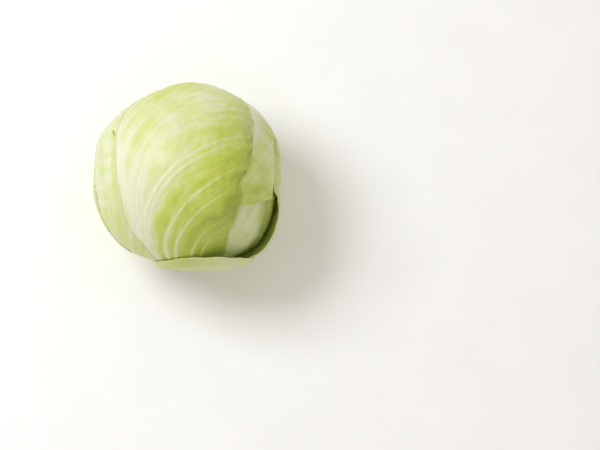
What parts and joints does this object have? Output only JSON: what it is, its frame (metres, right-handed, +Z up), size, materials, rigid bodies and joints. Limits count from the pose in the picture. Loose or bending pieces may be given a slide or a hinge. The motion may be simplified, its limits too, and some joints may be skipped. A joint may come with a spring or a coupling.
{
  "type": "cabbage head",
  "caption": "Round green cabbage head lying on its side, its loosely lapped outer leaves wrapped over packed inner leaves, a heart bud and a cut stem core.",
  "frame": {"origin": "centre of the bounding box's underside, on the surface that the head rests on", "axes": "+Z up; the cut stem points to -Y, below the horizontal, and the tip of the head to +Y; the loose leaf's raised rim is at +X"},
  "size_m": [0.172, 0.1709, 0.1631],
  "materials": {
    "stem_core": "matte cut plant stem, cream white, drying to light brown round the cut",
    "heart_bud": "satin, pale yellow young leaf",
    "inner_leaf": "satin, cream to pale green leaf with whitish veins",
    "pale_outer_leaf": "satin waxy leaf, pale green with whitish veins",
    "green_outer_leaf": "satin waxy leaf, lime green with raised cream veins"
  },
  "bodies": {
    "root": {"stem_core": "stem_core", "heart_bud": "heart_bud", "inner_leaf_01": "inner_leaf", "inner_leaf_02": "inner_leaf", "inner_leaf_03": "inner_leaf", "inner_leaf_04": "inner_leaf", "inner_leaf_05": "inner_leaf", "inner_leaf_06": "inner_leaf", "inner_leaf_07": "inner_leaf", "inner_leaf_08": "inner_leaf", "inner_leaf_09": "inner_leaf", "inner_leaf_10": "inner_leaf", "patch_leaf": "pale_outer_leaf", "back_leaf": "pale_outer_leaf", "right_leaf": "pale_outer_leaf", "main_leaf": "green_outer_leaf", "left_leaf": "green_outer_leaf", "torn_leaf": "green_outer_leaf", "loose_leaf": "green_outer_leaf", "front_leaf": "green_outer_leaf"}
  },
  "joints": []
}
